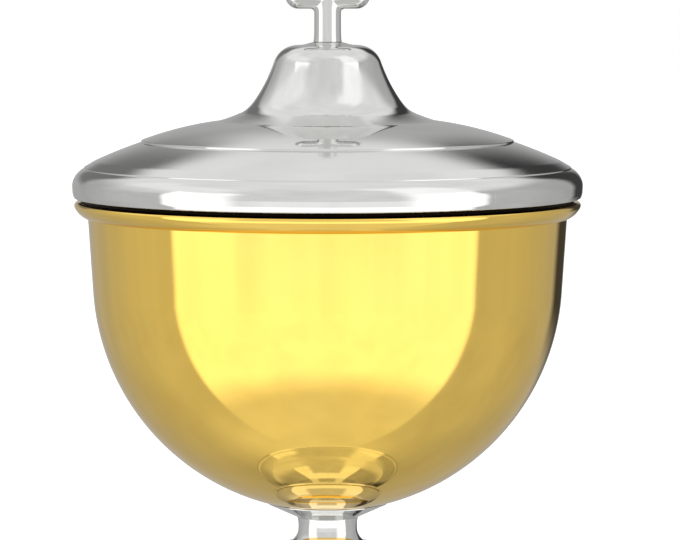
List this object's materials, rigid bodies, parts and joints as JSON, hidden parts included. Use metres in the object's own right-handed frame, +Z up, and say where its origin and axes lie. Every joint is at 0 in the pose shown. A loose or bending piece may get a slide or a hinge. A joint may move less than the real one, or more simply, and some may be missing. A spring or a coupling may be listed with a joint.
{
  "type": "ciborium",
  "caption": "Covered altar cup: a round gilt bowl on a knopped silver stem and spread foot, with a lift-off silver lid topped by a plain cross.",
  "frame": {"origin": "centre of the circle that the foot stands on, at table height", "axes": "+Z up through the stem; X along the bar of the cross; -Y is the front that the cross faces"},
  "size_m": [0.1193, 0.1192, 0.2197],
  "materials": {
    "gilt": "mirror-polished gold plate with fine wiping marks",
    "silver": "mirror-polished silver plate with fine spinning lines and wiping marks",
    "brass": "plain turned brass",
    "steel": "plain turned fastener steel"
  },
  "bodies": {
    "vessel": {"bowl": "gilt", "mouth_ring": "gilt", "bowl_boss": "brass", "cup_collar": "silver", "upper_stem": "silver", "knop_upper": "silver", "knop_lower": "silver", "knop_band": "silver", "lower_stem": "silver", "foot": "silver", "foot_ring": "silver", "tie_rod": "steel", "foot_washer": "steel", "foot_nut": "steel"},
    "lid": {"lid_shell": "silver", "lid_bezel": "gilt", "finial_cross": "silver", "finial_stud": "steel", "finial_washer": "steel", "finial_nut": "steel"}
  },
  "joints": [
    {"name": "lid_lift", "type": "slide", "parent": "vessel", "child": "lid", "axis": [0, 0, 1], "range_m": [0, 0.08]}
  ]
}
